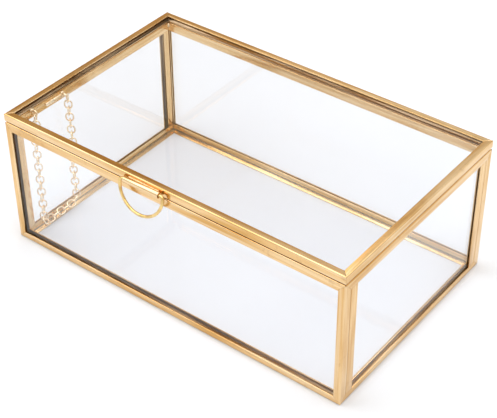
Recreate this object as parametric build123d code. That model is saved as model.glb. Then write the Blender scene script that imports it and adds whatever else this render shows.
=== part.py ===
from build123d import *
from math import asin, cos, degrees, radians, sin, sqrt
import os

# Glass jewelry box: a brass channel frame holds clear panes, the lid swings on two tube hinges
# at the back, a round wire pull hangs at the front and a stay chain holds the open lid.
# Millimetres. +X runs along the front, from left to right, +Y goes to the back and +Z is up.
# The origin is under the middle of the bounding box, on the surface the box stands on.

# Outside of the box, without the pull and the hinges
LENGTH = 200.0
DEPTH = 122.5
HEIGHT = 76.0

# Brass channels and the panes in them
SHEET = 0.5
GLASS = 3.0
SLOT = 3.5
CHANNEL = SHEET + SLOT + SHEET  # outer face to the inside of the inner leg
OUTER_LEG = 3.8                 # bands of the bottom rails and the posts on the outside
INNER_LEG = 4.9
RIM_LEG = 4.5                   # band of the rim on the outside
LEDGE = 7.0                     # the bottom rails reach in under the base pane this far
BASE_GLASS = 2.0
PANE_PLAY = 0.1

# Body and lid heights
LID_HEIGHT = 4.5
LID_GAP = 0.3
LID_BOTTOM = HEIGHT - LID_HEIGHT
BODY_TOP = LID_BOTTOM - LID_GAP
LID_TOP_LEG = 3.4
LID_LOW_LEG = 4.6
LID_GLASS = 3.0
LID_PANE_INSET = 0.8

# Pull: a tube soldered on the lid's front rail, with a wire ring hung in its ends
TUBE_RADIUS = 1.6
PULL_BORE_RADIUS = 1.1
PULL_TUBE_LENGTH = 21.0
PULL_X = -10.5
PULL_STANDOFF = 0.1
PULL_Z = LID_BOTTOM + 1.9
PULL_WIRE_RADIUS = 0.8
RING_RADIUS = 12.8              # middle of the wire
RING_CORNER = 1.6
RING_END = 5.0                  # each wire end stops this far from the middle of the tube
RING_TILT = 11.0                # how far the ring stands out from hanging straight

# Hinges: a tube on the lid and a wire staple on the body, twice
HINGE_X = 62.0
HINGE_TUBE_LENGTH = 21.0
HINGE_WIRE_RADIUS = 1.0
HINGE_BORE_RADIUS = HINGE_WIRE_RADIUS + 0.08
HINGE_STANDOFF = 0.3
HINGE_Z = LID_BOTTOM + 0.1
HINGE_LEG_X = 13.0
HINGE_LEG_BEND = 1.8
HINGE_FOOT_Z = 66.9
HINGE_LEG_GAP = 0.05            # between the wire's legs and the back rim

# Stay chain, cable links that alternate between two planes
LINK_LENGTH = 5.8
LINK_WIDTH = 4.6
LINK_WIRE = 0.9
LINK_PITCH = 3.85
PIN_SPAN = LINK_LENGTH - LINK_WIRE       # between the end bars of a crosswise link
PIN_GAP = 2 * LINK_PITCH - PIN_SPAN      # between the bars that a lengthwise link joins
PAIR = PIN_SPAN + PIN_GAP
CHAIN_X = -92.9
CHAIN_BODY_Y = -25.0
CHAIN_CLEARANCE = 0.1
FRONT_PAIRS = 8
FLOOR_PAIRS = 2                          # the floor run has one more crosswise link than this
REAR_PAIRS = 8
CORNER_TURN = 45.0
EYE_RADIUS = 1.45                        # middle of the wire of the two end rings
EYE_LEAN = 45.0                          # the body's ring leans, so that the chain can rise
LID_SWING = 96.0                         # opening at which the chain is straight

# Solder
DROP_RADIUS = 1.3               # rim corners and the lid's end ring
DROP_GAP = 0.1                  # from a drop up to the rim's top
FOOT_DROP_RADIUS = 2.3          # hinge wire feet
FOOT_DROP_RISE = 1.6
FOOT_DROP_SINK = 0.6
SMEAR_RADIUS = 1.2              # long lump beside the body's end ring
SMEAR_LENGTH = 12.0
SMEAR_RISE = 0.3
EYE_DROP_RADIUS = 1.5
EYE_DROP_RISE = 1.0
EYE_DROP_FORWARD = 1.0
LID_DROP_OUT = 0.4
FILLET_HALF_HEIGHT = 1.2        # beside the tubes
FILLET_REACH = 0.55             # share of the tube's radius
FILLET_INSET = 1.5              # from each end of a tube
HINGE_FILLET_GAP = 0.05
HINGE_FILLET_RISE = 1.5
BEYOND = 10.0                   # how far a cutting block reaches past what it cuts

HALF_X = LENGTH / 2
HALF_Y = DEPTH / 2
PULL_Y = -HALF_Y - TUBE_RADIUS - PULL_STANDOFF
HINGE_Y = HALF_Y + HINGE_STANDOFF + TUBE_RADIUS
RING_DROP = RING_CORNER + RING_RADIUS
FRONT_REACH = RING_DROP * sin(radians(RING_TILT)) + PULL_WIRE_RADIUS - PULL_Y
BACK_REACH = HINGE_Y + TUBE_RADIUS
CENTRE_SHIFT = (FRONT_REACH - BACK_REACH) / 2

# Chain at rest, in the plane x = CHAIN_X: two nearly upright strands and a run on the base
FLOOR_RUN = FLOOR_PAIRS * PAIR + PIN_SPAN
FLOOR_Z = SHEET + BASE_GLASS + CHAIN_CLEARANCE + LINK_WIDTH / 2
FRONT_STRAND = FRONT_PAIRS * PAIR
REAR_STRAND = REAR_PAIRS * PAIR
CHAIN_LENGTH = FRONT_STRAND + FLOOR_RUN + 2 * PIN_GAP + REAR_STRAND
CORNER_SIDE = PIN_GAP * cos(radians(CORNER_TURN))
CORNER_RISE = PIN_GAP * sin(radians(CORNER_TURN))


def chain_lid_y():
    """The lid's end of the chain: the chain is straight when the lid is open by LID_SWING."""
    turn = radians(LID_SWING)
    body_arm = HINGE_Y - CHAIN_BODY_Y
    drop = HINGE_Z - FLOOR_Z - CORNER_RISE - FRONT_STRAND
    # distance squared between both ends = CHAIN_LENGTH squared, solved for the lid's arm
    linear = 2 * (drop * sin(turn) - body_arm * cos(turn))
    constant = body_arm ** 2 + 2 * drop ** 2 * (1 - cos(turn)) - 2 * drop * body_arm * sin(turn)
    lid_arm = (-linear + sqrt(linear ** 2 - 4 * (constant - CHAIN_LENGTH ** 2))) / 2
    return HINGE_Y - lid_arm


CHAIN_LID_Y = chain_lid_y()
STRAND_LEAN = degrees(asin((CHAIN_BODY_Y - CHAIN_LID_Y - FLOOR_RUN - 2 * CORNER_SIDE)
                           / (FRONT_STRAND + REAR_STRAND)))
CHAIN_END_Z = FLOOR_Z + CORNER_RISE + FRONT_STRAND * cos(radians(STRAND_LEAN))


# Shared shapes

def side_planes(level):
    """One plane per side at a height: local X along the side, local Y inwards, local Z up."""
    return {
        "front": (Plane((-HALF_X, -HALF_Y, level), x_dir=(1, 0, 0), z_dir=(0, 0, 1)), LENGTH),
        "back": (Plane((HALF_X, HALF_Y, level), x_dir=(-1, 0, 0), z_dir=(0, 0, 1)), LENGTH),
        "left": (Plane((-HALF_X, HALF_Y, level), x_dir=(0, -1, 0), z_dir=(0, 0, 1)), DEPTH),
        "right": (Plane((HALF_X, -HALF_Y, level), x_dir=(0, 1, 0), z_dir=(0, 0, 1)), DEPTH),
    }


def bar(outline, length):
    """A straight bar along local X, its outline given in local Y and Z."""
    face = make_face(Plane.YZ * Polyline(*outline, close=True))
    return extrude(face, length, dir=(1, 0, 0))


def mitre(length):
    """The space between two 45 degree end cuts, seen from above, from the outer corners inwards."""
    reach = 2 * LEDGE
    outline = [(0, 0), (length, 0), (length - reach, reach), (reach, reach)]
    return extrude(make_face(Polyline(*outline, close=True)), reach, both=True)


def end_cuts(length, outline):
    """What both ends of a rail's outer band leave free, where the posts' bands reach the corner."""
    ends = [outline, [(length - x, z) for x, z in outline]]
    faces = [make_face(Plane.XZ * Polyline(*end, close=True)) for end in ends]
    return [extrude(face, SHEET, dir=(0, 1, 0)) for face in faces]


def bottom_bar(length):
    """A channel under the bottom edge of a pane, with a ledge inwards for the base pane."""
    outline = [(0, 0), (LEDGE, 0), (LEDGE, SHEET), (CHANNEL, SHEET), (CHANNEL, INNER_LEG),
               (CHANNEL - SHEET, INNER_LEG), (CHANNEL - SHEET, SHEET), (SHEET, SHEET),
               (SHEET, OUTER_LEG), (0, OUTER_LEG)]
    free = [(0, 0), (OUTER_LEG, OUTER_LEG), (0, OUTER_LEG)]
    return (bar(outline, length) & mitre(length)) - end_cuts(length, free)


def rim_bar(length):
    """A channel over the top edge of a pane, open downwards, mitred at both ends."""
    outline = [(0, 0), (CHANNEL, 0), (CHANNEL, -INNER_LEG), (CHANNEL - SHEET, -INNER_LEG),
               (CHANNEL - SHEET, -SHEET), (SHEET, -SHEET), (SHEET, -RIM_LEG), (0, -RIM_LEG)]
    free = [(0, 0), (OUTER_LEG, -OUTER_LEG), (OUTER_LEG, -RIM_LEG), (0, -RIM_LEG)]
    return (bar(outline, length) & mitre(length)) - end_cuts(length, free)


def lid_bar(length):
    """A channel that is open inwards, with the longer leg below, mitred at both ends."""
    outline = [(0, 0), (LID_LOW_LEG, 0), (LID_LOW_LEG, SHEET), (SHEET, SHEET),
               (SHEET, LID_HEIGHT - SHEET), (LID_TOP_LEG, LID_HEIGHT - SHEET),
               (LID_TOP_LEG, LID_HEIGHT), (0, LID_HEIGHT)]
    return bar(outline, length) & mitre(length)


def upright(outline, corner):
    """A straight bar as high as the body, its outline measured inwards from one corner."""
    x_side, y_side = corner
    points = [(x_side * (HALF_X - u), y_side * (HALF_Y - v)) for u, v in outline]
    return extrude(make_face(Polyline(*points, close=True)), BODY_TOP, dir=(0, 0, 1))


def box_between(low, high):
    """A block between two opposite corners."""
    size = [b - a for a, b in zip(low, high)]
    middle = [(a + b) / 2 for a, b in zip(low, high)]
    return Pos(*middle) * Box(*size)


def rod(start, end, radius):
    """A round bar between two points."""
    line = Line(start, end)
    return sweep(Plane(line @ 0, z_dir=line % 0) * Circle(radius), path=line)


def tube(middle, length, radius, bore):
    """A tube along X."""
    blank = Rot(Y=90) * (Cylinder(radius, length) - Cylinder(bore, length))
    return Pos(*middle) * blank


def link():
    """An oval chain link in the XZ plane, its long way along Z."""
    bend = (LINK_WIDTH - LINK_WIRE) / 2
    straight = LINK_LENGTH - LINK_WIDTH
    wire = LINK_WIRE / 2
    end = Rot(X=90) * (Torus(bend, wire) & box_between((-LINK_WIDTH, 0, -1), (LINK_WIDTH, LINK_WIDTH, 1)))
    side = Cylinder(wire, straight)
    top = Pos(Z=straight / 2) * end
    bottom = Rot(Y=180) * top
    return top + bottom + Pos(X=bend) * side + Pos(X=-bend) * side


def eye(y, lean):
    """A round ring across the chain that holds one end of it, leaning forward from its low bar."""
    ring = Pos(Z=EYE_RADIUS) * Rot(X=90) * Torus(EYE_RADIUS, LINK_WIRE / 2)
    return Pos(CHAIN_X, y, CHAIN_END_Z) * Rot(X=lean) * ring


def strand(start, angle, pattern):
    """Links from a bar at (y, z) in one direction, and the (y, z) of the bar they end at.

    In the pattern, a lengthwise link (l) lies in the plane of the chain and a crosswise link
    (c) stands across it. Degrees are measured from +Y towards +Z.
    """
    y, z = start
    step = (cos(radians(angle)), sin(radians(angle)))
    links = []
    for kind in pattern:
        span = PIN_GAP if kind == "l" else PIN_SPAN
        turn = Rot(Z=90) if kind == "l" else Rot(Z=0)
        place = Pos(CHAIN_X, y + step[0] * span / 2, z + step[1] * span / 2)
        links.append(place * Rot(X=angle - 90) * turn * LINK)
        y += step[0] * span
        z += step[1] * span
    return Compound(links), (y, z)


# Panes

def panes():
    """Four walls with a little play in their slots, and the base on the ledges between them."""
    end = SHEET + PANE_PLAY
    near = (CHANNEL - GLASS) / 2
    x = HALF_X - CHANNEL - PANE_PLAY
    y = HALF_Y - CHANNEL - PANE_PLAY
    out = {"base_pane": box_between((-x, -y, SHEET), (x, y, SHEET + BASE_GLASS))}
    for name, (plane, length) in side_planes(0).items():
        start = end if name in ("front", "back") else CHANNEL + end
        pane = box_between((start, near, end), (length - start, near + GLASS, BODY_TOP - end))
        out[name + "_pane"] = plane * pane
    return out


def lid_pane():
    """The lid's pane, lying on the lower legs of its four rails."""
    x = HALF_X - LID_PANE_INSET
    y = HALF_Y - LID_PANE_INSET
    z = LID_BOTTOM + SHEET
    return box_between((-x, -y, z), (x, y, z + LID_GLASS))


# Frame

def rails():
    """Bottom, rim and lid rails, four of each."""
    out = {}
    for side, (plane, length) in side_planes(0).items():
        out["bottom_rail_" + side] = plane * bottom_bar(length)
    for side, (plane, length) in side_planes(BODY_TOP).items():
        out["rim_rail_" + side] = plane * rim_bar(length)
    for side, (plane, length) in side_planes(LID_BOTTOM).items():
        out["lid_rail_" + side] = plane * lid_bar(length)
    return out


def posts(all_rails):
    """Two channels at each corner: one holds the front or back pane, and behind it one holds
    the side pane. Both are cut to fit the rails they meet.
    """
    post = [(0, 0), (OUTER_LEG, 0), (OUTER_LEG, SHEET), (SHEET, SHEET),
            (SHEET, CHANNEL - SHEET), (INNER_LEG, CHANNEL - SHEET), (INNER_LEG, CHANNEL),
            (0, CHANNEL)]
    side_post = [(CHANNEL - v, CHANNEL + u) for u, v in post]
    corners = {"front_left": (-1, -1), "front_right": (1, -1),
               "back_left": (-1, 1), "back_right": (1, 1)}
    out = {}
    for name, corner in corners.items():
        met = [all_rails[level + side] for level in ("bottom_rail_", "rim_rail_")
               for side in name.split("_")]
        out["post_" + name] = upright(post, corner) - met
        out["side_post_" + name] = upright(side_post, corner) - met
    return out


# Hinges and pull

def hinge_wire(x):
    """A wire staple: it runs through a hinge tube and both legs reach down the back rim."""
    foot_y = HALF_Y + HINGE_WIRE_RADIUS + HINGE_LEG_GAP
    left = x - HINGE_LEG_X
    right = x + HINGE_LEG_X
    corners = [(left, foot_y, HINGE_FOOT_Z), (left, HINGE_Y, HINGE_Z),
               (right, HINGE_Y, HINGE_Z), (right, foot_y, HINGE_FOOT_Z)]
    path = FilletPolyline(*corners, radius=HINGE_LEG_BEND)
    return sweep(Plane(path @ 0, z_dir=path % 0) * Circle(HINGE_WIRE_RADIUS), path=path)


def hinge_tube(x):
    """The part of a hinge that turns with the lid."""
    return tube((x, HINGE_Y, HINGE_Z), HINGE_TUBE_LENGTH, TUBE_RADIUS, HINGE_BORE_RADIUS)


def pull_tube():
    """The tube on the lid's front that carries the ring."""
    return tube((PULL_X, PULL_Y, PULL_Z), PULL_TUBE_LENGTH, TUBE_RADIUS, PULL_BORE_RADIUS)


def ring_pull():
    """A D of round wire: its ends sit in the pull tube and the bow hangs, tilted forward."""
    shoulder = RING_RADIUS - RING_CORNER
    quarter = RING_CORNER * (1 - cos(radians(45)))
    low = -RING_CORNER
    path = (
        Line((-RING_END, 0), (-shoulder, 0))
        + ThreePointArc((-shoulder, 0), (quarter - RING_RADIUS, -quarter), (-RING_RADIUS, low))
        + ThreePointArc((-RING_RADIUS, low), (0, -RING_DROP), (RING_RADIUS, low))
        + ThreePointArc((RING_RADIUS, low), (RING_RADIUS - quarter, -quarter), (shoulder, 0))
        + Line((shoulder, 0), (RING_END, 0))
    )
    start = Plane((-RING_END, 0, 0), z_dir=(-1, 0, 0)) * Circle(PULL_WIRE_RADIUS)
    flat = sweep(start, path=Wire(path.edges()))
    return Pos(PULL_X, PULL_Y, PULL_Z) * Rot(X=90 - RING_TILT) * flat


# Solder

def corner_drops():
    """A drop of solder in each inner corner of the rim."""
    drop = Sphere(DROP_RADIUS) & box_between((0, 0, -DROP_RADIUS), (DROP_RADIUS,) * 3)
    turns = {(-1, -1): 0, (1, -1): 90, (1, 1): 180, (-1, 1): 270}
    drops = []
    for (x_side, y_side), turn in turns.items():
        x = x_side * (HALF_X - CHANNEL)
        y = y_side * (HALF_Y - CHANNEL)
        drops.append(Pos(x, y, BODY_TOP - DROP_RADIUS - DROP_GAP) * Rot(Z=turn) * drop)
    return drops


def foot_drops():
    """Solder over the feet of the hinge wires."""
    behind = box_between((-HALF_X, HALF_Y, 0), (HALF_X, HALF_Y + BEYOND, HEIGHT))
    y = HALF_Y - FOOT_DROP_SINK
    z = HINGE_FOOT_Z + FOOT_DROP_RISE
    drops = []
    for x in (-HINGE_X, HINGE_X):
        wire = hinge_wire(x)
        for leg in (-HINGE_LEG_X, HINGE_LEG_X):
            drop = Pos(x + leg, y, z) * Sphere(FOOT_DROP_RADIUS)
            drops.append((drop & behind) - wire)
    return drops


def body_eye_solder():
    """A lump along the left rim rail that holds the body's end ring of the chain."""
    x = CHANNEL - HALF_X
    z = CHAIN_END_Z + SMEAR_RISE
    front = (x, CHAIN_BODY_Y - SMEAR_LENGTH, z)
    rear = (x, CHAIN_BODY_Y - EYE_DROP_FORWARD, z)
    lump = rod(front, rear, SMEAR_RADIUS) + Pos(*front) * Sphere(SMEAR_RADIUS)
    drop_at = (x, CHAIN_BODY_Y - EYE_DROP_FORWARD, CHAIN_END_Z + EYE_DROP_RISE)
    lump += Pos(*drop_at) * Sphere(EYE_DROP_RADIUS)
    inside = box_between((x, -HALF_Y, z - BEYOND), (x + BEYOND, HALF_Y, BODY_TOP))
    return (lump & inside) - eye(CHAIN_BODY_Y, EYE_LEAN)


def lid_eye_solder():
    """A drop between the left lid rail's lower leg and the lid's end ring of the chain."""
    edge = LID_LOW_LEG - HALF_X
    drop = Pos(edge + LID_DROP_OUT, CHAIN_LID_Y, LID_BOTTOM) * Sphere(DROP_RADIUS)
    beside = box_between((edge, -HALF_Y, LID_BOTTOM - BEYOND), (0, HALF_Y, LID_BOTTOM + SHEET))
    return (drop & beside) - eye(CHAIN_LID_Y, 0)


def tube_fillet(middle, wall, low, high, length):
    """Solder in the narrow space between a tube along X and the wall it is soldered to."""
    x, y, z = middle
    reach = FILLET_REACH * TUBE_RADIUS
    near, far = sorted((wall, y - reach if y > wall else y + reach))
    half = length / 2 - FILLET_INSET
    block = box_between((x - half, near, low), (x + half, far, high))
    return block - Pos(x, y, z) * Rot(Y=90) * Cylinder(TUBE_RADIUS, length)


def tube_solder():
    """Solder that holds the pull tube and both hinge tubes on the lid."""
    low = PULL_Z - FILLET_HALF_HEIGHT
    high = PULL_Z + FILLET_HALF_HEIGHT
    parts = [tube_fillet((PULL_X, PULL_Y, PULL_Z), -HALF_Y, low, high, PULL_TUBE_LENGTH)]
    low = LID_BOTTOM + HINGE_FILLET_GAP
    high = HINGE_Z + HINGE_FILLET_RISE
    for x in (-HINGE_X, HINGE_X):
        parts.append(tube_fillet((x, HINGE_Y, HINGE_Z), HALF_Y, low, high, HINGE_TUBE_LENGTH))
    return parts


# Stay chain

def chain():
    """The chain in six stiff runs from the lid's ring to the body's ring, and their first bars.

    The first three runs follow the lid and the last three hang from the body.
    """
    runs = [
        ("chain_front", STRAND_LEAN - 90, "lc" * FRONT_PAIRS),
        ("chain_front_turn", -CORNER_TURN, "l"),
        ("chain_floor", 0, "cl" * FLOOR_PAIRS),
        ("chain_floor_end", 0, "c"),
        ("chain_rear_turn", CORNER_TURN, "l"),
        ("chain_rear", 90 - STRAND_LEAN, "cl" * REAR_PAIRS),
    ]
    parts = {}
    bars = []
    bar_at = (CHAIN_LID_Y, CHAIN_END_Z)
    for name, angle, pattern in runs:
        bars.append(bar_at)
        parts[name], bar_at = strand(bar_at, angle, pattern)
    return parts, bars + [bar_at]


LINK = link()


def build():
    """Every sub-part by name."""
    parts = panes() | rails()
    parts |= posts(parts)
    parts["lid_pane"] = lid_pane()
    for name, x in (("left", -HINGE_X), ("right", HINGE_X)):
        parts["hinge_wire_" + name] = hinge_wire(x)
        parts["hinge_tube_" + name] = hinge_tube(x)
    parts["pull_tube"] = pull_tube()
    parts["ring_pull"] = ring_pull()
    parts["chain_ring_body"] = eye(CHAIN_BODY_Y, EYE_LEAN)
    parts["chain_ring_lid"] = eye(CHAIN_LID_Y, 0)
    parts["solder_body"] = Compound(corner_drops() + foot_drops() + [body_eye_solder()])
    parts["solder_lid"] = Compound(tube_solder() + [lid_eye_solder()])
    return parts | chain()[0]


os.makedirs("parts", exist_ok=True)
for node, shape in build().items():
    export_step(Pos(Y=CENTRE_SHIFT) * shape, "parts/" + node + ".step")
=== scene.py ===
"""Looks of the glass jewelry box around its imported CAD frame.

Metres, in the row frame: +X along the front, +Y to the back, +Z up. Every piece takes its place
from a CAD node, rides on that node's body and stands for the node.
"""

import math
import random

import bmesh
import bpy
from mathutils import Matrix, Vector


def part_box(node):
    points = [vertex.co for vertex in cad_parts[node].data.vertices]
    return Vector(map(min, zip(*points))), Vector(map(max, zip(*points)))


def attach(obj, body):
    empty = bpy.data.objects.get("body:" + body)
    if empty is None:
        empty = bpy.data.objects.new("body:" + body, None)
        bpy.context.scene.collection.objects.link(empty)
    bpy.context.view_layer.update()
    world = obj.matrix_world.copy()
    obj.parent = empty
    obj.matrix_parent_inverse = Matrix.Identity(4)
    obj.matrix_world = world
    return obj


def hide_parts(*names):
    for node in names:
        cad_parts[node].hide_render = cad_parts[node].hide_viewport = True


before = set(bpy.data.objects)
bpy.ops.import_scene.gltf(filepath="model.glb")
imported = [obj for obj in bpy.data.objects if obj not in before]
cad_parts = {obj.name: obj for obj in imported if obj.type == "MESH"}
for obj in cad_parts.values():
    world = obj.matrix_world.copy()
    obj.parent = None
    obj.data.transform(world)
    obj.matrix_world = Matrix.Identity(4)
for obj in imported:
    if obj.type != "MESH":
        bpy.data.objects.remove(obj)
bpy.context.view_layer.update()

MM = 0.001
AXES = "xyz"
UP = 2                                      # index of the upright axis
SAME_POINT = 0.001 * MM                     # points nearer than this are one point
ONE_PLANE = math.radians(0.5)               # faces turned by less than this are one flat face

# Camera
CAMERA_PLACE = (321.6 * MM, -412.5 * MM, 439.0 * MM)
CAMERA_TURN = (51.75, 0.35, 37.44)          # degrees
LENS = 96.8                                 # millimetres, on a 36 mm sensor
NEAREST = 0.01

# Studio
FLOOR_SIZE = 8.0
FLOOR_WHITE = (0.675, 0.685, 0.705)
SKY = 3.0
ROOM_HEIGHTS = [(0.0, 0.35), (0.5, 0.31), (0.69, 0.29), (0.80, 1.0)]     # brightness over height
DARK_SIDE = (-0.80, 0.45, 0.45)
DARK_TONE = (0.62, 0.44, 0.22)
DARK_EDGE = [(0.84, 1.0), (0.97, DARK_TONE)]     # shade over nearness to the dark side
LAMP_SIDE = (-0.64, -0.20, 0.74)
LAMP_EDGE = [(0.88, 0.0), (0.95, 1.0)]      # light over nearness to the lamp's side
ROOM_SHAPES = 3.2                           # how fine the room's unevenness is
ROOM_TONES = [(0.38, 0.72), (0.60, 1.0)]    # brightness over that unevenness

# Sheet brass
SHEET = 0.5 * MM
CHANNEL = 4.5 * MM
FOLD = 0.9 * MM                             # rounding where the sheet is folded
LIP = 0.10 * MM                             # rounding along the sheet's cut edges
MITRE = 0.25 * MM                           # rounding along the mitred ends
FOLD_STEPS = 4
SHARP_FROM = math.radians(20)               # edges flatter than this aren't rounded
SQUARE_ON = 0.9                             # a normal with this much of an axis faces along it
STRAIGHT = 0.99                             # an edge with this much of an axis runs along it
RIM_WEAR = 0.1 * MM                         # the gap under the lid is this much wider
LID_WEAR = 0.15 * MM
SLOT_DEPTH = 4.2 * MM                       # the inside of a channel ends here

# Panes
PANE_PLAY = 0.05 * MM                       # air between a pane and the sheet it lies on
PANE_EDGE = 0.2 * MM                        # rounding of the ground edges
PANE_STEPS = 2

# Tubes of the pull and the hinges
TUBE_BORES = {"pull_tube": 0.69, "hinge_tube_left": 0.68, "hinge_tube_right": 0.68}
TUBE_RIM = 0.14 * MM                        # rounding of the rims
TUBE_SOFT = 0.3                             # where its middle point lies, as a share of it
TUBE_EASE = 0.02 * MM                       # the tubes stay inside the CAD box
TUBE_STEPS = 40

# Ring pull
PULL_WIRE = 1.6 * MM
PULL_STEPS = 20
RING_TILT = 11.0                            # degrees from hanging straight down
RING_CORNER = 1.6 * MM
RING_ENDS = 5.0 * MM                        # the wire's ends, each side of the tube's middle
CORNER_STEPS = 8
BOW_STEPS = 64
DOME_TURNS = (28, 55, 80)                   # degrees of the rings that round off a wire's end

# Chain
LINK_LENGTH = 5.5 * MM
LINK_WIDTH = 4.6 * MM
LINK_WIRE = 0.78 * MM
LINK_POINTS = 32
LINK_STEPS = 12
STRAND_TWIST = 37.0                         # degrees about the strand
TWIST_SPREAD = 7.0
LEVEL = 0.2                                 # a run with less rise than this lies on the floor
BROAD = 1.5                                 # a link broader in X than this many wires lies across it

# Solder
LUMP_GRAIN = 0.25 * MM
LUMP_MELT = 0.5
LUMP_PASSES = 4

# Relief in the surfaces
SHEET_WAVES = 0.16 * MM
SHEET_LINES = 0.004 * MM
WIRE_GRAIN = 0.006 * MM
SOLDER_LUMPS = 0.25 * MM
GLASS_WAVES = 0.02 * MM

# Patterns on the sheet brass: cells to the metre, and how far they are drawn out along the sheet
LINES = (2000.0, 40.0)
BANDS = (620.0, 30.0)
CLOUDS = (50.0, 3.0)
WAVES = (95.0, 2.5)
STAINS = 190.0                              # not drawn out

# Marks on the sheet brass
STAIN_BROWN = (0.42, 0.22, 0.08)
LINE_BROWN = (0.52, 0.28, 0.09)
BAND_GOLD = (0.95, 0.76, 0.50)
STAIN_ROUGH = 0.12                          # how much rougher the stains are

random.seed(7)


# Nodes ---------------------------------------------------------------------------------------

def new_material(name):
    """A new material, its node tree and its Principled shader."""
    material = bpy.data.materials.new(name)
    material.use_nodes = True
    tree = material.node_tree
    return material, tree, tree.nodes["Principled BSDF"]


def add(tree, kind, **values):
    """A new node, with its plain properties set by name."""
    node = tree.nodes.new("ShaderNode" + kind)
    for key, value in values.items():
        setattr(node, key, value)
    return node


def ramp(tree, source, stops):
    """A colour ramp over a value: (position, colour or grey) stops."""
    node = add(tree, "ValToRGB")
    for index, (place, colour) in enumerate(stops):
        if isinstance(colour, (int, float)):
            colour = (colour,) * 3
        if index < 2:
            stop = node.color_ramp.elements[index]
            stop.position = place
        else:
            stop = node.color_ramp.elements.new(place)
        stop.color = (*colour, 1)
    tree.links.new(source, node.inputs["Fac"])
    return node.outputs["Color"]


def noise_at(tree, scale, drawn=1.0, along="", detail=3.0, roughness=0.5, distortion=0.0):
    """Noise in object space, so many cells to the metre, drawn out along one axis."""
    where = add(tree, "TexCoord")
    mapping = add(tree, "Mapping")
    scales = [scale / drawn if axis == along else scale for axis in AXES]
    mapping.inputs["Scale"].default_value = scales
    tree.links.new(where.outputs["Object"], mapping.inputs["Vector"])
    texture = add(tree, "TexNoise")
    texture.inputs["Scale"].default_value = 1.0
    texture.inputs["Detail"].default_value = detail
    texture.inputs["Roughness"].default_value = roughness
    texture.inputs["Distortion"].default_value = distortion
    tree.links.new(mapping.outputs["Vector"], texture.inputs["Vector"])
    return texture.outputs["Fac"]


def mix_colour(tree, factor, first, second, blend="MIX"):
    """Two colours mixed by a factor. Each of the three is a value or a socket."""
    node = add(tree, "MixRGB", blend_type=blend)
    for name, value in (("Fac", factor), ("Color1", first), ("Color2", second)):
        if isinstance(value, (int, float)):
            node.inputs[name].default_value = value
        elif isinstance(value, tuple):
            node.inputs[name].default_value = (*value, 1)
        else:
            tree.links.new(value, node.inputs[name])
    return node.outputs["Color"]


def bump(tree, height, distance, below=None):
    """A bump from a height, on top of another one."""
    node = add(tree, "Bump")
    node.inputs["Strength"].default_value = 1.0
    node.inputs["Distance"].default_value = distance
    tree.links.new(height, node.inputs["Height"])
    if below is not None:
        tree.links.new(below, node.inputs["Normal"])
    return node.outputs["Normal"]


# Materials -----------------------------------------------------------------------------------

def brass(name, along, light=(0.88, 0.60, 0.30), deep=(0.64, 0.34, 0.08), rough=(0.10, 0.22)):
    """Polished sheet brass: drawing lines along one axis, cloudy tarnish and a few stains."""
    material, tree, shader = new_material(name)
    lines = noise_at(tree, *LINES, along, detail=4.0)
    bands = noise_at(tree, *BANDS, along, detail=2.0)
    clouds = noise_at(tree, *CLOUDS, along, detail=5.0, distortion=0.6)
    stains = noise_at(tree, STAINS, detail=6.0, roughness=0.62)
    toned = mix_colour(tree, ramp(tree, clouds, [(0.42, 0.0), (0.64, 0.75)]), light, deep)
    spots = ramp(tree, stains, [(0.60, 0.0), (0.74, 0.55)])
    stained = mix_colour(tree, spots, toned, STAIN_BROWN)
    streaks = ramp(tree, lines, [(0.35, 0.0), (0.7, 0.30)])
    streaked = mix_colour(tree, streaks, stained, LINE_BROWN)
    stripes = ramp(tree, bands, [(0.46, 0.0), (0.62, 0.45)])
    banded = mix_colour(tree, stripes, streaked, BAND_GOLD)
    tree.links.new(banded, shader.inputs["Base Color"])
    shader.inputs["Metallic"].default_value = 1.0
    smooth, dull = rough
    worn = mix_colour(tree, 0.5, ramp(tree, lines, [(0.3, smooth), (0.75, dull)]),
                      ramp(tree, stains, [(0.4, smooth), (0.75, dull + STAIN_ROUGH)]))
    tree.links.new(worn, shader.inputs["Roughness"])
    wavy = bump(tree, noise_at(tree, *WAVES, along, detail=1.0), SHEET_WAVES)
    tree.links.new(bump(tree, lines, SHEET_LINES, below=wavy), shader.inputs["Normal"])
    return material


def wire_brass(name, light, deep):
    """Smooth drawn wire with soft darker patches."""
    material, tree, shader = new_material(name)
    clouds = noise_at(tree, 260.0, detail=4.0, distortion=0.4)
    patches = ramp(tree, clouds, [(0.4, 0.0), (0.7, 0.7)])
    tree.links.new(mix_colour(tree, patches, light, deep), shader.inputs["Base Color"])
    shader.inputs["Metallic"].default_value = 1.0
    fine = noise_at(tree, 2400.0, detail=3.0)
    tree.links.new(ramp(tree, fine, [(0.3, 0.10), (0.8, 0.26)]), shader.inputs["Roughness"])
    tree.links.new(bump(tree, fine, WIRE_GRAIN), shader.inputs["Normal"])
    return material


def solder_metal():
    """Tin solder with a thin wash of brass, lumpy and half bright."""
    material, tree, shader = new_material("solder_metal")
    clouds = noise_at(tree, 420.0, detail=5.0)
    tones = [(0.35, (0.92, 0.80, 0.60)), (0.62, (0.86, 0.64, 0.38)), (0.80, (0.48, 0.30, 0.13))]
    tree.links.new(ramp(tree, clouds, tones), shader.inputs["Base Color"])
    shader.inputs["Metallic"].default_value = 1.0
    tree.links.new(ramp(tree, clouds, [(0.3, 0.16), (0.7, 0.42)]), shader.inputs["Roughness"])
    lumps = bump(tree, noise_at(tree, 700.0, detail=5.0), SOLDER_LUMPS)
    tree.links.new(lumps, shader.inputs["Normal"])
    return material


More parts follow.
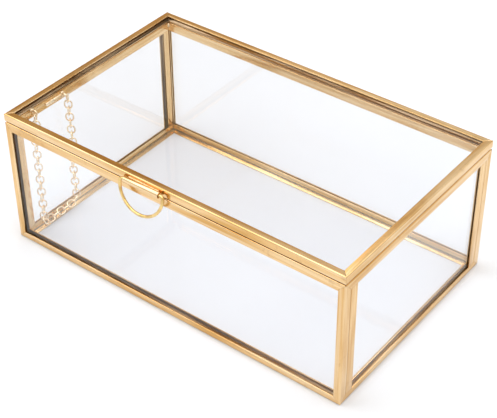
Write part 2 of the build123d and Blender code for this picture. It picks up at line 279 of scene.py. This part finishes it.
def clear_glass():
    """Clear float glass with a faint cool tint. Light reaches what is behind it."""
    material, tree, shader = new_material("clear_glass")
    tints = [(0.3, (0.96, 0.972, 0.992)), (0.7, (0.975, 0.985, 1.0))]
    tint = ramp(tree, noise_at(tree, 14.0, detail=2.0), tints)
    tree.links.new(tint, shader.inputs["Base Color"])
    shader.inputs["Roughness"].default_value = 0.0
    shader.inputs["IOR"].default_value = 1.5
    shader.inputs["Transmission Weight"].default_value = 1.0
    waves = bump(tree, noise_at(tree, 22.0, detail=0.0), GLASS_WAVES)
    tree.links.new(waves, shader.inputs["Normal"])
    path = add(tree, "LightPath")
    either = add(tree, "Math", operation="MAXIMUM")
    tree.links.new(path.outputs["Is Shadow Ray"], either.inputs[0])
    tree.links.new(path.outputs["Is Diffuse Ray"], either.inputs[1])
    clear = add(tree, "BsdfTransparent")
    clear.inputs["Color"].default_value = (0.985, 0.985, 0.99, 1)
    choice = add(tree, "MixShader")
    tree.links.new(either.outputs[0], choice.inputs["Fac"])
    tree.links.new(shader.outputs["BSDF"], choice.inputs[1])
    tree.links.new(clear.outputs["BSDF"], choice.inputs[2])
    surface = tree.nodes["Material Output"].inputs["Surface"]
    tree.links.new(choice.outputs["Shader"], surface)
    return material


SHEET_BRASS = {axis: brass("sheet_brass_" + axis, axis) for axis in AXES}
# Near-black brass for faces in the channels: painted shade of the recesses; on the cut ends, the
# dark seams of the mitred joints
SLOT_SHADE_BRASS = {axis: brass("slot_shade_brass_" + axis, axis, light=(0.20, 0.075, 0.014),
                          deep=(0.10, 0.035, 0.006), rough=(0.28, 0.40)) for axis in AXES}
TUBE_BRASS = brass("tube_brass", "x", light=(0.93, 0.70, 0.42), deep=(0.80, 0.52, 0.24))
WIRE_BRASS = wire_brass("wire_brass", light=(0.88, 0.64, 0.28), deep=(0.48, 0.28, 0.06))
CHAIN_BRASS = wire_brass("chain_brass", light=(0.96, 0.82, 0.62), deep=(0.86, 0.62, 0.38))
SOLDER = solder_metal()
GLASS = clear_glass()


# Mesh helpers --------------------------------------------------------------------------------

def piece(name, bm, material, body, node):
    """A finished piece: its mesh, its material and what it rides on and stands for."""
    bmesh.ops.recalc_face_normals(bm, faces=bm.faces)
    mesh = bpy.data.meshes.new(name)
    bm.to_mesh(mesh)
    bm.free()
    mesh.shade_smooth()
    obj = bpy.data.objects.new(name, mesh)
    obj.data.materials.append(material)
    bpy.context.scene.collection.objects.link(obj)
    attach(obj, body)
    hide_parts(node)
    return obj


def corners(node):
    """The low and the high corner of a CAD node's box."""
    return [Vector(corner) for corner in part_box(node)]


def cad_copy(node):
    """A CAD node's triangles, with their shared points joined."""
    bm = bmesh.new()
    bm.from_mesh(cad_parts[node].data)
    bmesh.ops.remove_doubles(bm, verts=bm.verts, dist=SAME_POINT)
    return bm


def flat_faced(node):
    """A CAD node's shape with its triangles joined into flat faces, and its edge weights."""
    bm = cad_copy(node)
    bmesh.ops.dissolve_limit(bm, angle_limit=ONE_PLANE, verts=bm.verts, edges=bm.edges)
    return bm, bm.edges.layers.float.new("bevel_weight_edge")


def rounded(obj, radius, steps):
    """Rounds the edges that carry a weight."""
    bevel = obj.modifiers.new("round_edges", "BEVEL")
    bevel.width = radius
    bevel.segments = steps
    bevel.limit_method = "WEIGHT"
    bevel.harden_normals = True
    bevel.use_clamp_overlap = True


def ring_of(bm, centre, normal, side, radius, steps):
    """A ring of new points about a centre, square to a normal, that starts on one side."""
    other = normal.cross(side).normalized()
    turns = (2 * math.pi * step / steps for step in range(steps))
    return [bm.verts.new(centre + radius * (math.cos(turn) * side + math.sin(turn) * other))
            for turn in turns]


def skin(bm, rings):
    """Joins each ring of points to the next one."""
    for first, second in zip(rings, rings[1:]):
        for here in range(len(first)):
            there = (here + 1) % len(first)
            bm.faces.new((first[here], first[there], second[there], second[here]))


def dome(point, tangent, radius, way):
    """Rings that round off a wire: way is 1 at its end and -1 at its start."""
    turns = [math.radians(turn) for turn in DOME_TURNS[::way]]
    return [(point + way * radius * math.sin(turn) * tangent, tangent, radius * math.cos(turn))
            for turn in turns]


def sweep(bm, points, radius, steps, closed=False):
    """Adds a round wire along a list of points, with domed ends where it is open."""
    count = len(points)
    tangents = []
    for index, point in enumerate(points):
        before = points[index - 1] if closed or index else point
        after = points[(index + 1) % count] if closed or index < count - 1 else point
        tangents.append((after - before).normalized())
    stations = [(point, tangent, radius) for point, tangent in zip(points, tangents)]
    if not closed:
        start = dome(points[0], tangents[0], radius, -1)
        stations = start + stations + dome(points[-1], tangents[-1], radius, 1)
    side = tangents[0].orthogonal().normalized()
    rings = []
    for centre, tangent, size in stations:
        side = (side - tangent * side.dot(tangent)).normalized()
        rings.append(ring_of(bm, centre, tangent, side, size, steps))
    if closed:
        skin(bm, rings + rings[:1])
    else:
        skin(bm, rings)
        bm.faces.new(reversed(rings[0]))
        bm.faces.new(rings[-1])


# Brass frame ---------------------------------------------------------------------------------

def face_width(face, along):
    """How wide a face is that runs along one axis."""
    places = [vert.co[along] for vert in face.verts]
    return face.calc_area() / max(max(places) - min(places), SHEET)


def is_dark(face, sides, along):
    """Whether a face lies inside a channel, where the brass takes a near-black painted shade, or on
    a cut end in a joint, where it is a dark seam.
    """
    turned = [abs(part) > SQUARE_ON for part in face.normal]
    cut_end = turned[along] or not any(turned)
    if cut_end:
        return True
    place = face.calc_center_median()
    inward = [min(abs(place[axis] - corner[axis]) for corner in sides) for axis in (0, 1)]
    between_channels = along == UP and turned[1] and abs(inward[1] - CHANNEL) < LIP
    if between_channels:
        return True
    if all(edge.is_convex for edge in face.edges):
        return False
    # What is left lines a slot, apart from the faces further in, on the ledge.
    return along == UP or inward[1 - along] < SLOT_DEPTH


def sheet_piece(node, body, sides, axis, height=None, wear=0.0):
    """A folded brass rail: round folds, softened lips and fine seams at its ends.

    Where a height is given, the points at that height move up by the wear.
    """
    bm, weight = flat_faced(node)
    along = AXES.index(axis)
    for vert in bm.verts:
        if height is not None and abs(vert.co[UP] - height) < LIP:
            vert.co[UP] += wear
    for edge in bm.edges:
        if len(edge.link_faces) != 2 or not edge.is_convex or edge.calc_face_angle() < SHARP_FROM:
            continue
        run = (edge.verts[1].co - edge.verts[0].co).normalized()
        if abs(run[along]) < STRAIGHT:
            edge[weight] = MITRE / FOLD
        elif min(face_width(face, along) for face in edge.link_faces) > 2 * SHEET:
            edge[weight] = 1.0
        else:
            edge[weight] = LIP / FOLD
    # Faces inside the channels take the second, near-black material as painted shade; cut ends take
    # it as dark seams
    for face in bm.faces:
        face.material_index = int(is_dark(face, sides, along))
    obj = piece("brass_" + node, bm, SHEET_BRASS[axis], body, node)
    obj.data.materials.append(SLOT_SHADE_BRASS[axis])
    rounded(obj, FOLD, FOLD_STEPS)


def make_frame():
    """All folded sheet: bottom, rim and lid rails and the two channels of each post."""
    low, high = corners("lid_rail_front")
    sides = (low, Vector((high.x, corners("lid_rail_back")[1].y, high.z)))
    rim_top = corners("rim_rail_front")[1].z
    for side, axis in (("front", "x"), ("back", "x"), ("left", "y"), ("right", "y")):
        sheet_piece("bottom_rail_" + side, "box", sides, axis)
        sheet_piece("rim_rail_" + side, "box", sides, axis, rim_top, -RIM_WEAR)
        sheet_piece("lid_rail_" + side, "lid", sides, axis, low.z, LID_WEAR)
    for corner in ("front_left", "front_right", "back_left", "back_right"):
        sheet_piece("post_" + corner, "box", sides, "z")
        sheet_piece("side_post_" + corner, "box", sides, "z")


# Glass ---------------------------------------------------------------------------------------

def make_glass():
    """Six panes with ground edges."""
    for node, body in (("front_pane", "box"), ("back_pane", "box"), ("left_pane", "box"),
                       ("right_pane", "box"), ("base_pane", "box"), ("lid_pane", "lid")):
        bm, weight = flat_faced(node)
        low, high = corners(node)
        for vert in bm.verts:
            outward = vert.co - (low + high) / 2
            vert.co -= Vector([math.copysign(PANE_PLAY, part) for part in outward])
        for edge in bm.edges:
            edge[weight] = 1.0
        obj = piece("glass_" + node, bm, GLASS, body, node)
        obj.data.shade_flat()
        rounded(obj, PANE_EDGE, PANE_STEPS)


# Hinges and pull -----------------------------------------------------------------------------

def make_tubes():
    """Pull and hinge tubes with softened rims."""
    across = Vector((1, 0, 0))
    back = Vector((0, 1, 0))
    soft = TUBE_RIM * TUBE_SOFT
    for node, bore_share in TUBE_BORES.items():
        bm = bmesh.new()
        low, high = corners(node)
        outer = (high.z - low.z) / 2 - TUBE_EASE
        bore = outer * bore_share
        end = [(TUBE_RIM, bore), (soft, bore + soft), (0.0, bore + TUBE_RIM),
               (0.0, outer - TUBE_RIM), (soft, outer - soft), (TUBE_RIM, outer)]
        outline = [(low.x + inset, radius) for inset, radius in end]
        outline += [(high.x - inset, radius) for inset, radius in reversed(end)]
        middle = (low + high) / 2
        rings = [ring_of(bm, Vector((x, middle.y, middle.z)), across, back, radius, TUBE_STEPS)
                 for x, radius in outline]
        skin(bm, rings + rings[:1])
        piece("brass_" + node, bm, TUBE_BRASS, "lid", node)


def arc(centre, start, end, radius, first, second, steps):
    """Points of an arc in the plane of two directions, angles in degrees."""
    turns = (math.radians(start + (end - start) * step / steps) for step in range(steps + 1))
    return [centre + radius * (math.cos(turn) * first + math.sin(turn) * second)
            for turn in turns]


def make_ring_pull():
    """The D of round wire: straight ends inside the tube, tight shoulders and a round bow."""
    low, high = corners("ring_pull")
    tube_low, tube_high = corners("pull_tube")
    pivot = (tube_low + tube_high) / 2
    radius = (high.x - low.x - PULL_WIRE) / 2
    tilt = math.radians(RING_TILT)
    across = Vector((1, 0, 0))
    down = Vector((0, -math.sin(tilt), -math.cos(tilt)))
    shoulder = radius - RING_CORNER
    halfway = (RING_ENDS + shoulder) / 2
    corner = down * RING_CORNER
    points = [pivot - across * RING_ENDS, pivot - across * halfway]
    points += arc(pivot - across * shoulder + corner, 270, 180, RING_CORNER, across, down,
                  CORNER_STEPS)
    points += arc(pivot + corner, 180, 0, radius, across, down, BOW_STEPS)[1:]
    points += arc(pivot + across * shoulder + corner, 0, -90, RING_CORNER, across, down,
                  CORNER_STEPS)[1:]
    points += [pivot + across * halfway, pivot + across * RING_ENDS]
    bm = bmesh.new()
    sweep(bm, points, PULL_WIRE / 2, PULL_STEPS)
    piece("wire_ring_pull", bm, WIRE_BRASS, "ring", "ring_pull")


def make_hinge_wires():
    """Wire staples, smooth copies of the CAD wires."""
    for node in ("hinge_wire_left", "hinge_wire_right"):
        piece("wire_" + node, cad_copy(node), WIRE_BRASS, "box", node)


# Chain ---------------------------------------------------------------------------------------

def oval(centre, long_way, wide_way):
    """The closed middle line of an oval link."""
    bend = (LINK_WIDTH - LINK_WIRE) / 2
    half = (LINK_LENGTH - LINK_WIDTH) / 2
    points = []
    for step in range(LINK_POINTS):
        turn = 2 * math.pi * (step + 0.5) / LINK_POINTS
        shift = half if math.sin(turn) > 0 else -half
        points.append(centre + wide_way * (bend * math.cos(turn))
                      + long_way * (bend * math.sin(turn) + shift))
    return points


def islands(node):
    """The points of each separate solid of a CAD node."""
    bm = cad_copy(node)
    left = set(bm.verts)
    found = []
    while left:
        group = set()
        todo = [next(iter(left))]
        while todo:
            vert = todo.pop()
            if vert in group:
                continue
            group.add(vert)
            todo += [edge.other_vert(vert) for edge in vert.link_edges]
        left -= group
        found.append([vert.co.copy() for vert in group])
    bm.free()
    return found


def mean_place(cloud):
    """The mean of a cloud of points, to a thousandth of a millimetre."""
    return tuple(round(part, 6) for part in sum(cloud, Vector()) / len(cloud))


def link_ways(cloud):
    """The centre of a CAD link, and the directions of its length and its width."""
    low, high = (Vector([pick(point[axis] for point in cloud) for axis in range(3)])
                 for pick in (min, max))
    centre = (low + high) / 2
    far = max(cloud, key=lambda point: ((point - centre).length, point.z, point.y)) - centre
    across = Vector((1, 0, 0))
    crosswise = (high - low).x > LINK_WIRE * BROAD
    long_way = Vector((0, far.y, far.z)).normalized()
    wide_way = across if crosswise else long_way.cross(across)
    if long_way.z < 0 or (abs(long_way.z) < LEVEL and long_way.y < 0):
        long_way = -long_way
    return centre, long_way, wide_way


def make_chain():
    """Smooth twisted links in place of the CAD links, run by run."""
    runs = (("chain_front", "front_strand"), ("chain_front_turn", "front_turn"),
            ("chain_floor", "floor_run"), ("chain_floor_end", "floor_end"),
            ("chain_rear_turn", "rear_turn"), ("chain_rear", "rear_strand"))
    for node, body in runs:
        bm = bmesh.new()
        for cloud in sorted(islands(node), key=mean_place):
            centre, long_way, wide_way = link_ways(cloud)
            twist = math.radians(STRAND_TWIST + random.uniform(-TWIST_SPREAD, TWIST_SPREAD))
            wide_way = Matrix.Rotation(twist, 3, long_way) @ wide_way
            line = oval(centre, long_way, wide_way)
            sweep(bm, line, LINK_WIRE / 2, LINK_STEPS, closed=True)
        piece("links_" + node, bm, CHAIN_BRASS, body, node)
    for node, body in (("chain_ring_body", "box"), ("chain_ring_lid", "lid")):
        piece("wire_" + node, cad_copy(node), CHAIN_BRASS, body, node)


# Solder --------------------------------------------------------------------------------------

def make_solder():
    """Lumpy solder in place of the plain CAD drops."""
    for node, body in (("solder_body", "box"), ("solder_lid", "lid")):
        obj = piece("lumps_" + node, cad_copy(node), SOLDER, body, node)
        remesh = obj.modifiers.new("even_mesh", "REMESH")
        remesh.mode = "VOXEL"
        remesh.voxel_size = LUMP_GRAIN
        remesh.use_smooth_shade = True
        smooth = obj.modifiers.new("melt", "SMOOTH")
        smooth.factor = LUMP_MELT
        smooth.iterations = LUMP_PASSES


# Studio --------------------------------------------------------------------------------------

def make_floor():
    """A pale matt floor."""
    bm = bmesh.new()
    bmesh.ops.create_grid(bm, x_segments=1, y_segments=1, size=FLOOR_SIZE / 2)
    mesh = bpy.data.meshes.new("floor")
    bm.to_mesh(mesh)
    bm.free()
    floor = bpy.data.objects.new("floor", mesh)
    bpy.context.scene.collection.objects.link(floor)
    material, _, shader = new_material("floor_paper")
    shader.inputs["Base Color"].default_value = (*FLOOR_WHITE, 1)
    shader.inputs["Roughness"].default_value = 0.9
    shader.inputs["Specular IOR Level"].default_value = 0.0
    mesh.materials.append(material)


def nearness(tree, direction):
    """How close a direction of the world is to a given one, 1 where they agree."""
    where = add(tree, "TexCoord")
    product = add(tree, "VectorMath", operation="DOT_PRODUCT")
    product.inputs[1].default_value = Vector(direction).normalized()
    tree.links.new(where.outputs["Generated"], product.inputs[0])
    return product.outputs["Value"]


def make_room():
    """A room that is bright overhead, with a soft lamp, one darker side and uneven walls."""
    world = bpy.data.worlds.new("studio")
    bpy.context.scene.world = world
    world.use_nodes = True
    tree = world.node_tree
    background = tree.nodes["Background"]
    where = add(tree, "TexCoord")
    split = add(tree, "SeparateXYZ")
    tree.links.new(where.outputs["Generated"], split.inputs[0])
    height = ramp(tree, split.outputs["Z"], ROOM_HEIGHTS)
    lamp = ramp(tree, nearness(tree, LAMP_SIDE), LAMP_EDGE)
    lit = mix_colour(tree, 1.0, height, lamp, "LIGHTEN")
    shade = ramp(tree, nearness(tree, DARK_SIDE), DARK_EDGE)
    shaded = mix_colour(tree, 1.0, lit, shade, "MULTIPLY")
    shapes = add(tree, "TexNoise")
    shapes.inputs["Scale"].default_value = ROOM_SHAPES
    shapes.inputs["Detail"].default_value = 2.0
    tree.links.new(where.outputs["Generated"], shapes.inputs["Vector"])
    uneven = ramp(tree, shapes.outputs["Fac"], ROOM_TONES)
    room = mix_colour(tree, 1.0, shaded, uneven, "MULTIPLY")
    tree.links.new(room, background.inputs["Color"])
    background.inputs["Strength"].default_value = SKY


def make_camera():
    """The camera, and colours shown as they are."""
    data = bpy.data.cameras.new("camera")
    data.lens = LENS
    data.clip_start = NEAREST
    camera = bpy.data.objects.new("camera", data)
    camera.location = CAMERA_PLACE
    camera.rotation_euler = [math.radians(turn) for turn in CAMERA_TURN]
    bpy.context.scene.collection.objects.link(camera)
    bpy.context.scene.camera = camera
    bpy.context.scene.view_settings.view_transform = "Standard"


make_floor()
make_room()
make_camera()
make_frame()
make_glass()
make_tubes()
make_ring_pull()
make_hinge_wires()
make_chain()
make_solder()
